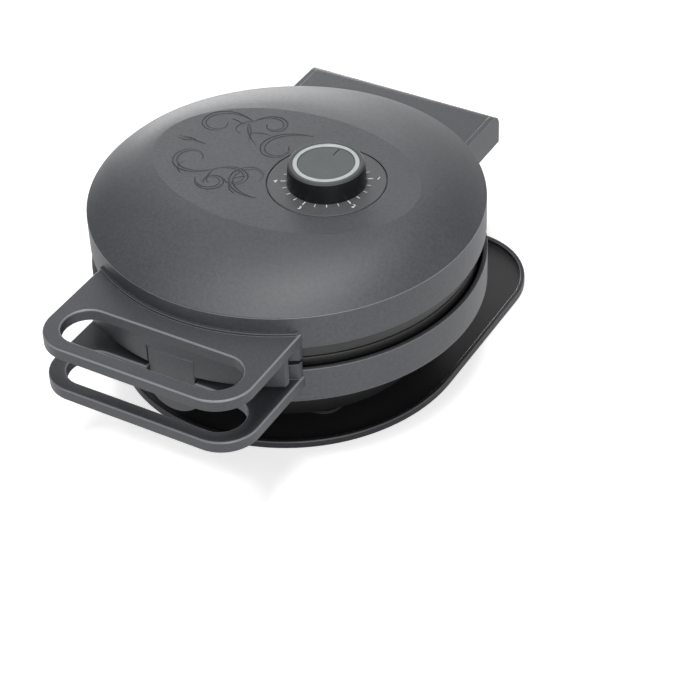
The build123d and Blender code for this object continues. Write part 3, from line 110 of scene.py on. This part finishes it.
class Finish:
    """A material with one Principled shader, painted in object coordinates."""

    def __init__(self, name, roughness=0.5, metallic=0.0, specular=0.5, coat=0.0):
        self.material = bpy.data.materials.new(name)
        self.material.use_nodes = True
        self.tree = self.material.node_tree
        self.shader = self.tree.nodes["Principled BSDF"]
        self.start = Value(self.tree)
        self.place = self.start.node("ShaderNodeTexCoord", output="Object")
        for key, number in (
            ("Roughness", roughness),
            ("Metallic", metallic),
            ("Specular IOR Level", specular),
            ("Coat Weight", coat),
        ):
            self.shader.inputs[key].default_value = number

    def noise(self, size, detail=2.0, roughness=0.5, place=None):
        """Cloudy noise whose patches are about the given size."""
        inputs = {"Vector": place or self.place, "Scale": 1 / size, "Detail": detail, "Roughness": roughness}
        return self.start.node("ShaderNodeTexNoise", inputs)

    def turned(self, centre, angles=(0, 0, 0), scale=(1, 1, 1)):
        """Object coordinates moved, turned and stretched about a centre."""
        inputs = {"Vector": self.place, "Location": [-part for part in centre]}
        moved = self.start.node("ShaderNodeMapping", inputs)
        inputs = {"Vector": moved, "Rotation": angles, "Scale": scale}
        return self.start.node("ShaderNodeMapping", inputs)

    def bump(self, height, depth, edge=0.0):
        """A bumped normal, over edges that are rounded to a small radius."""
        inputs = {"Height": height, "Distance": depth, "Strength": 1.0}
        if edge:
            inputs["Normal"] = self.start.node("ShaderNodeBevel", {"Radius": edge}, samples=4)
        return self.start.node("ShaderNodeBump", inputs)

    def edges(self, low, high):
        """1 on rounded edges, whose slope lies between an upright wall's and the face's above it."""
        rounded = self.start.node("ShaderNodeBevel", {"Radius": EDGE_RADIUS}, samples=6)
        own = {"vector_type": "NORMAL", "convert_from": "WORLD", "convert_to": "OBJECT"}
        rounded = self.start.node("ShaderNodeVectorTransform", {"Vector": rounded}, **own)
        slope = self.start.node("ShaderNodeSeparateXYZ", {"Vector": rounded}, output="Z")
        return slope.clamped(low, low + 0.08) * (1 - slope.clamped(high - 0.06, high))

    def set(self, **values):
        """Link or set sockets of the shader; names use _ for a space."""
        for name, value in values.items():
            socket = self.shader.inputs[name.replace("_", " ")]
            if isinstance(value, Value):
                self.tree.links.new(value.socket, socket)
            else:
                socket.default_value = value
        return self.material


def spark_textured(
    name, rgb, roughness=0.5, grain=0.55 * MM, depth=0.05 * MM, specular=0.5, edge_highlight=0.0, slopes=ROUNDED_EDGES
):
    """Moulded plastic with a spark-eroded mould's matt grain, with a painted highlight that lightens its
    rounded edges, which are also smoother.
    """
    finish = Finish(name, specular=specular)
    fine = finish.noise(grain, 3.0, 0.6)
    pebble = finish.noise(2.6 * grain, 1.0)
    cloud = finish.noise(45 * MM, 2.0)
    tone = (fine * 0.45 + pebble * 0.40 + cloud * 0.30).clamped(0.42, 0.74)
    base = tone.blend(shaded(rgb, 0.78), shaded(rgb, 1.22))
    matt = fine * 0.10 + cloud * 0.06 + (roughness - 0.08)
    # Painted highlight: a lighter colour along rounded edges stands in for lamp glints on them.
    if edge_highlight:
        edge = finish.edges(*slopes)
        base = edge.blend(base, shaded(rgb, 1 + edge_highlight))
        matt = matt - edge * 0.14
    return finish.set(
        Base_Color=base,
        Roughness=matt,
        Normal=finish.bump(fine * 0.7 + pebble * 0.3, depth, 0.45 * MM),
    )


def satin_moulding(name, rgb, roughness, specular=0.5, painted_top_highlight=None):
    """Smooth moulded plastic with faint flow marks and worn patches; a given colour paints a highlight on
    what faces up.
    """
    finish = Finish(name, specular=specular)
    rub = finish.noise(9 * MM, 4.0, 0.6)
    fine = finish.noise(0.35 * MM, 2.0)
    base = rub.clamped(0.3, 0.7).blend(shaded(rgb, 0.9), shaded(rgb, 1.1))
    # Painted highlight: faces that look up are coloured lighter, as if lit from above.
    if painted_top_highlight:
        base = finish.edges(*FACES_UP).blend(base, colour(*painted_top_highlight))
    return finish.set(
        Base_Color=base,
        Roughness=rub * 0.12 + (roughness - 0.06),
        Normal=finish.bump(fine, 0.008 * MM, 0.3 * MM),
    )


def cast_coating(name, rgb):
    """Dark non-stick coating over a casting: even, slightly pebbled, faintly speckled."""
    finish = Finish(name, specular=0.5)
    pebble = finish.noise(0.9 * MM, 3.0, 0.65)
    speck = finish.noise(0.45 * MM, 0.0).clamped(0.66, 0.72)
    bake = finish.noise(30 * MM, 3.0).clamped(0.35, 0.7)
    base = bake.blend(shaded(rgb, 0.85), shaded(rgb, 1.2))
    return finish.set(
        Base_Color=speck.blend(base, shaded(rgb, 3.0)),
        Roughness=pebble * 0.14 + bake * 0.08 + 0.30,
        Normal=finish.bump(pebble, 0.05 * MM),
    )


def drawn_metal(name, rgb, roughness, stretch=(1, 1, 30), centre=(0, 0, 0), tarnish=0.25):
    """Metal with fine drawing lines and a cloudy tarnish."""
    finish = Finish(name, metallic=1.0)
    lines = finish.noise(0.3 * MM, 2.0, place=finish.turned(centre, scale=[1 / part for part in stretch]))
    cloud = finish.noise(12 * MM, 4.0, 0.6).clamped(0.35, 0.75)
    return finish.set(
        Base_Color=cloud.blend(colour(*rgb), shaded(rgb, 1 - tarnish)),
        Roughness=lines * 0.14 + cloud * 0.10 + (roughness - 0.10),
        Normal=finish.bump(lines, 0.01 * MM),
    )


def turned_metal(name, rgb, roughness, centre):
    """Metal turned on a lathe, with rings about an upright axis."""
    finish = Finish(name, metallic=1.0)
    place = finish.turned(centre)
    x = finish.start.node("ShaderNodeSeparateXYZ", {"Vector": place}, output="X")
    y = finish.start.node("ShaderNodeSeparateXYZ", {"Vector": place}, output="Y")
    radius = x.maths("SQRT", x * x + y * y)
    rings = (radius * (2 * pi / (0.22 * MM))).maths("SINE", radius * (2 * pi / (0.22 * MM)))
    cloud = finish.noise(6 * MM, 3.0)
    return finish.set(
        Base_Color=cloud.clamped(0.3, 0.7).blend(shaded(rgb, 0.9), shaded(rgb, 1.08)),
        Roughness=cloud * 0.12 + (roughness - 0.06),
        Normal=finish.bump(rings * 0.5 + cloud, 0.006 * MM),
    )


CHARCOAL = (0.060, 0.062, 0.069)
# The last number of each makes the painted highlight on rounded edges lighter by that factor.
charcoal_shell = spark_textured(
    "charcoal_shell", CHARCOAL, 0.50, grain=0.7 * MM, depth=0.10 * MM, edge_highlight=2.4, slopes=SHELL_RIMS
)
charcoal_handle = spark_textured(
    "charcoal_handle", (0.051, 0.053, 0.060), 0.47, grain=0.5 * MM, depth=0.04 * MM, edge_highlight=3.4
)
charcoal_tray = spark_textured(
    "charcoal_tray", (0.015, 0.015, 0.017), 0.50, grain=0.5 * MM, depth=0.03 * MM, specular=0.32, edge_highlight=6.0
)
# The pan's near-black colour is painted shade: it stands in for the deep shadow under the housing.
pan_painted_shade = spark_textured("pan_painted_shade", (0.005, 0.005, 0.0055), 0.6, depth=0.04 * MM)
foot_rubber = spark_textured("foot_rubber", (0.016, 0.016, 0.016), 0.75, grain=0.3 * MM, depth=0.02 * MM)
plate_coating = cast_coating("plate_coating", (0.009, 0.009, 0.0095))
dial_face = spark_textured("dial_face", (0.075, 0.077, 0.082), 0.55, grain=0.4 * MM, depth=0.02 * MM)
# The knob's upward faces get a lighter painted highlight colour.
knob_black = satin_moulding(
    "knob_black", (0.006, 0.0065, 0.0075), 0.30, specular=0.38, painted_top_highlight=(0.062, 0.066, 0.068)
)
knob_disc = satin_moulding("knob_disc", (0.068, 0.080, 0.080), 0.42)
knob_silver = turned_metal("knob_silver", (0.45, 0.475, 0.48), 0.40, (KNOB_X, 0, 0))
sheath_steel = drawn_metal("sheath_steel", (0.30, 0.27, 0.24), 0.48, tarnish=0.45)
reflector_sheet = drawn_metal("reflector_sheet", (0.78, 0.78, 0.77), 0.28, stretch=(30, 1, 1), tarnish=0.15)
plated_steel = drawn_metal("plated_steel", (0.60, 0.60, 0.58), 0.35)
blackened_steel = drawn_metal("blackened_steel", (0.055, 0.053, 0.052), 0.42, tarnish=0.3)
spring_steel = drawn_metal("spring_steel", (0.36, 0.35, 0.35), 0.32)
ivory_moulding = satin_moulding("ivory_moulding", (0.62, 0.59, 0.51), 0.45)
bush_acetal = satin_moulding("bush_acetal", (0.72, 0.70, 0.66), 0.35)
# The scroll lines are raised beads; their dark colour is painted shade that stands in for the shadow in
# engraved grooves.
scroll_painted_shade = spark_textured("scroll_painted_shade", (0.018, 0.019, 0.021), 0.5, grain=0.4 * MM, depth=0.01 * MM)
print_white = satin_moulding("print_white", (0.93, 0.94, 0.95), 0.5)

WEARS = {
    charcoal_shell: "lid_shell lower_shell",
    charcoal_handle: "upper_handle lower_handle latch_clip hinge_cover end_caps hinge_bracket",
    charcoal_tray: "drip_tray",
    pan_painted_shade: "base_pan",
    foot_rubber: "rubber_feet cord_gland",
    plate_coating: "lower_plate upper_plate",
    dial_face: "dial_plate",
    knob_black: "knob_body",
    knob_disc: "knob_cap",
    knob_silver: "knob_ring",
    sheath_steel: "lower_element upper_element",
    reflector_sheet: "lower_reflector upper_reflector lid_bridge",
    blackened_steel: "pan_screws plate_screws",
    plated_steel: "lower_handle_screws upper_handle_screws bracket_screws "
    "cover_screws bridge_screws dial_screws hinge_pin latch_pin lower_thermal_fuse "
    "upper_thermal_fuse thermostat_sensor thermostat_spindle",
    spring_steel: "pin_clips knob_clip latch_spring",
    ivory_moulding: "terminal_block thermostat",
    bush_acetal: "hinge_bushes",
}
for material, names in WEARS.items():
    for name in names.split():
        piece = nodes[name]
        for place in range(len(piece.material_slots)):
            piece.material_slots[place].material = material
        if not piece.material_slots:
            piece.data.materials.append(material)


# ---------------------------------------------------------------- dial print and lid ornament
PRINT = 0.10 * MM  # thickness of the printed marks
MAJOR_RADIUS, MINOR_RADIUS, NUMBER_RADIUS = 22.6 * MM, 22.4 * MM, 26.8 * MM
NUMBER_HEIGHT = 3.7 * MM
MARK_STEP, FIRST_MARK, MARKS = 15.4, 47.5, 19  # degrees about the knob, from its right round the front


def joined(pieces, name, material, body):
    """Join finished pieces into one that rides on a body."""
    bpy.ops.object.select_all(action="DESELECT")
    for piece in pieces:
        piece.select_set(True)
    bpy.context.view_layer.objects.active = pieces[0]
    bpy.ops.object.join()
    whole = bpy.context.object
    whole.name = whole.data.name = name
    whole.data.materials.clear()
    whole.data.materials.append(material)
    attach(whole, body)
    return whole


def printed_bar(width, length):
    """A thin printed stroke along Y with rounded corners."""
    bpy.ops.object.select_all(action="DESELECT")
    bpy.ops.mesh.primitive_cube_add(size=1)
    bar = bpy.context.object
    bar.data.transform(Matrix.Diagonal((width, length, PRINT, 1)))
    corners = [vertex.co for vertex in bar.data.vertices]
    bpy.ops.object.mode_set(mode="EDIT")
    bpy.ops.mesh.select_all(action="DESELECT")
    bpy.ops.object.mode_set(mode="OBJECT")
    for edge in bar.data.edges:
        low, high = (corners[corner] for corner in edge.vertices)
        edge.select = abs(high.z - low.z) > PRINT / 2
    bpy.ops.object.mode_set(mode="EDIT")
    bpy.ops.mesh.bevel(offset=0.4 * width, segments=3)
    bpy.ops.object.mode_set(mode="OBJECT")
    return bar


def printed_number(text, height):
    """A printed numeral, centred on the origin."""
    bpy.ops.object.select_all(action="DESELECT")
    bpy.ops.object.text_add()
    number = bpy.context.object
    number.data.body, number.data.size = text, height
    number.data.align_x, number.data.align_y = "CENTER", "CENTER"
    number.data.extrude = PRINT / 2
    number.data.offset = 0.03 * MM
    bpy.ops.object.convert(target="MESH")
    return bpy.context.object


def around_knob(angle, radius, upright=False):
    """A place on the dial; its Y points away from the knob, or to the back when upright."""
    turn = radians(angle)
    place = Matrix.Translation((KNOB_X + radius * cos(turn), radius * sin(turn), TOP + PRINT / 2))
    return place if upright else place @ Matrix.Rotation(turn - pi / 2, 4, "Z")


long_bar, short_bar = printed_bar(0.62 * MM, 2.9 * MM), printed_bar(0.48 * MM, 2.3 * MM)
marks = []
for place in range(MARKS):
    angle = FIRST_MARK - place * MARK_STEP
    major = place % 4 == 1
    mark = (long_bar if major else short_bar).copy()
    mark.data = mark.data.copy()
    mark.data.transform(around_knob(angle, MAJOR_RADIUS if major else MINOR_RADIUS))
    bpy.context.collection.objects.link(mark)
    marks.append(mark)
    if major:
        number = printed_number(str(place // 4 + 1), NUMBER_HEIGHT)
        number.data.transform(around_knob(angle, NUMBER_RADIUS, upright=True))
        marks.append(number)
for pattern in (long_bar, short_bar):
    bpy.data.objects.remove(pattern)
joined(marks, "dial_print", print_white, "lid")


def stroke_line(x, y, heading, length, first_bend, last_bend, inward=0.0):
    """One line of a scroll: its curvature changes evenly along it, in degrees a millimetre."""
    bpy.ops.object.select_all(action="DESELECT")
    bpy.ops.curve.primitive_nurbs_path_add()
    line = bpy.context.object
    steps = 24
    spline = line.data.splines[0]
    spline.points.add(steps + 1 - len(spline.points))
    step = length / steps
    for place, point in enumerate(spline.points):
        share = place / steps
        drift = inward * sin(pi * share)
        turn = radians(heading)
        point.co = (x - drift * sin(turn), y + drift * cos(turn), 0, 1)
        point.radius = (0.8 if inward else 0.95) * (0.45 + 0.75 * sin(pi * min(1, share * 1.1 + 0.05)))
        bend = first_bend + (last_bend - first_bend) * (place + 0.5) / steps
        halfway = radians(heading + bend * step / 2)
        x, y, heading = x + step * cos(halfway), y + step * sin(halfway), heading + bend * step
    spline.use_endpoint_u, spline.order_u = True, 3
    line.data.bevel_depth, line.data.bevel_resolution = 0.36, 1
    line.data.resolution_u, line.data.use_fill_caps = 3, True
    bpy.ops.object.convert(target="MESH")
    line = bpy.context.object
    line.data.transform(Matrix.Translation((0, 0, TOP)) @ Matrix.Diagonal((MM, MM, 0.5 * MM, 1)))
    return line


# start x and y, heading, length, first and last bend, and how far its inner line stands off
SCROLLS = (
    (-38, 30.5, 152, 62, 1.4, 9.8, 2.3),
    (-38, 30.5, 75, 45, -3.2, -12.2, -2.1),
    (-2, 32.5, 186, 64, 0.9, 9.3, 2.4),
    (-39, 27.5, -38, 17, -4.2, 1.0, 0),
    (-39, 27.5, -76, 22, 4.2, -1.0, 0),
    (-38, 30.5, 208, 18, 3.5, 14, 0),
    (-33, 20.5, 34, 11, -2, -9, 0),
    (-50, 27.5, 12, 9, -9, 4, 0),
    (-33, -17, 55, 43, -2.7, -11.2, -2.2),
    (-33, -17, 235, 58, -2.3, -8.8, -2.3),
    (-38, -27.5, -74, 45, 5.2, 12.2, 2.1),
    (0.5, -29.5, 190, 60, -1.4, -8.8, -2.4),
    (-33, -17, 262, 14, 1, 10, 0),
    (-12, -31, 166, 13, -4, -12, 0),
    (-47, -28, 150, 12, -3, -13, 0),
    (-20, -20, 60, 9, -8, 5, 0),
    (-49.5, 0.8, 178, 17, -1.0, 2.5, 0),
    (-54.5, 1.0, 150, 9, 6, 4, 0),
    (-58.5, 0.6, 212, 8, -6, -5, 0),
)
lines = []
for scroll in SCROLLS:
    lines.append(stroke_line(*scroll[:6]))
    if scroll[6]:
        lines.append(stroke_line(*scroll))
joined(lines, "lid_scrolls", scroll_painted_shade, "lid")


# ---------------------------------------------------------------- camera, floor and light
def aimed(data, place, target):
    """An object at a place, looking at a target."""
    thing = bpy.data.objects.new(data.name, data)
    bpy.context.scene.collection.objects.link(thing)
    thing.location = place
    thing.rotation_euler = (Vector(target) - Vector(place)).to_track_quat("-Z", "Y").to_euler()
    return thing


def soft_box(name, place, target, size, power, tint=(1, 1, 1)):
    """A rectangular studio lamp."""
    lamp = bpy.data.lights.new(name, "AREA")
    lamp.shape, lamp.size, lamp.size_y = "RECTANGLE", size[0], size[1]
    lamp.energy, lamp.color = power, tint
    return aimed(lamp, place, target)


# the camera that was fitted to the photograph: its place and its own three directions
CAMERA_PLACE = (0.507896, -0.787239, 0.752604)
RIGHT = (0.86950, 0.49297, -0.03072)
UP = (-0.29197, 0.56315, 0.77306)
BACK = (0.39839, -0.66320, 0.63359)
lens = bpy.data.cameras.new("camera")
lens.sensor_width, lens.lens = 36.0, 111.74
camera = bpy.data.objects.new("camera", lens)
bpy.context.scene.collection.objects.link(camera)
camera.matrix_world = Matrix.Translation(CAMERA_PLACE) @ Matrix((RIGHT, UP, BACK)).transposed().to_4x4()
bpy.context.scene.camera = camera
bpy.context.scene.view_settings.view_transform = "Standard"

bpy.ops.object.select_all(action="DESELECT")
bpy.ops.mesh.primitive_plane_add(size=12, location=(0, 0, 0))
floor = bpy.context.object
floor.name = "floor"
paper = bpy.data.materials.new("paper")
paper.use_nodes = True
paper.node_tree.nodes.clear()
sheet = Value(paper.node_tree)
cloud = sheet.node("ShaderNodeTexNoise", {"Scale": 3.0, "Detail": 3.0})
grey = cloud.blend(colour(0.80, 0.80, 0.80), colour(0.83, 0.83, 0.83))
matt = sheet.node("ShaderNodeBsdfDiffuse", {"Color": grey})
glow = sheet.node("ShaderNodeEmission", {"Color": colour(1, 1, 1), "Strength": 0.62})
lifted = sheet.node("ShaderNodeAddShader", {0: matt, 1: glow})
mixed = sheet.node("ShaderNodeMixShader", {0: sheet.seen_directly(), 1: matt, 2: lifted})
end = paper.node_tree.nodes.new("ShaderNodeOutputMaterial")
paper.node_tree.links.new(mixed.socket, end.inputs["Surface"])
floor.data.materials.append(paper)

world = bpy.data.worlds.new("studio")
bpy.context.scene.world = world
world.use_nodes = True
world.node_tree.nodes.clear()
air = Value(world.node_tree)
dim = air.node("ShaderNodeBackground", {"Color": colour(1, 1, 1), "Strength": 0.30})
bright = air.node("ShaderNodeBackground", {"Color": colour(1, 1, 1), "Strength": 1.0})
mixed = air.node("ShaderNodeMixShader", {0: air.seen_directly(), 1: dim, 2: bright})
end = world.node_tree.nodes.new("ShaderNodeOutputWorld")
world.node_tree.links.new(mixed.socket, end.inputs["Surface"])

soft_box("overhead", (0.04, -0.08, 1.35), (0, 0, 0.08), (0.45, 0.45), 11)
soft_box("backlight", (-0.97, 1.13, 0.24), (0, 0, 0.08), (0.8, 0.4), 7.8)
soft_box("front_right", (1.35, -1.40, 0.6), (0, 0, 0.06), (1.0, 0.7), 15)
soft_box("edge_glint", (-0.50, -0.42, 1.10), (0, -0.04, 0.08), (0.16, 0.16), 0.45)

black_card = bpy.data.materials.new("black_card")
black_card.diffuse_color = colour(0.02, 0.02, 0.02)
black_card.use_nodes = True
black_card.node_tree.nodes["Principled BSDF"].inputs["Base Color"].default_value = colour(0.02, 0.02, 0.02)
black_card.node_tree.nodes["Principled BSDF"].inputs["Roughness"].default_value = 0.9
for name, place, size in (
    ("left_card", (-1.05, -0.12, 0.66), (2.0, 1.35)),
    ("right_card", (0.62, 0.92, 0.86), (1.5, 1.3)),
):
    bpy.ops.mesh.primitive_plane_add(size=1)
    card = bpy.context.object
    card.name = name
    card.data.transform(Matrix.Diagonal((*size, 1, 1)))
    turn = (-Vector(place)).to_track_quat("Z", "Y").to_matrix().to_4x4()
    card.data.transform(Matrix.Translation(place) @ turn)
    card.data.materials.append(black_card)
    card.visible_camera = False
    card.visible_shadow = False
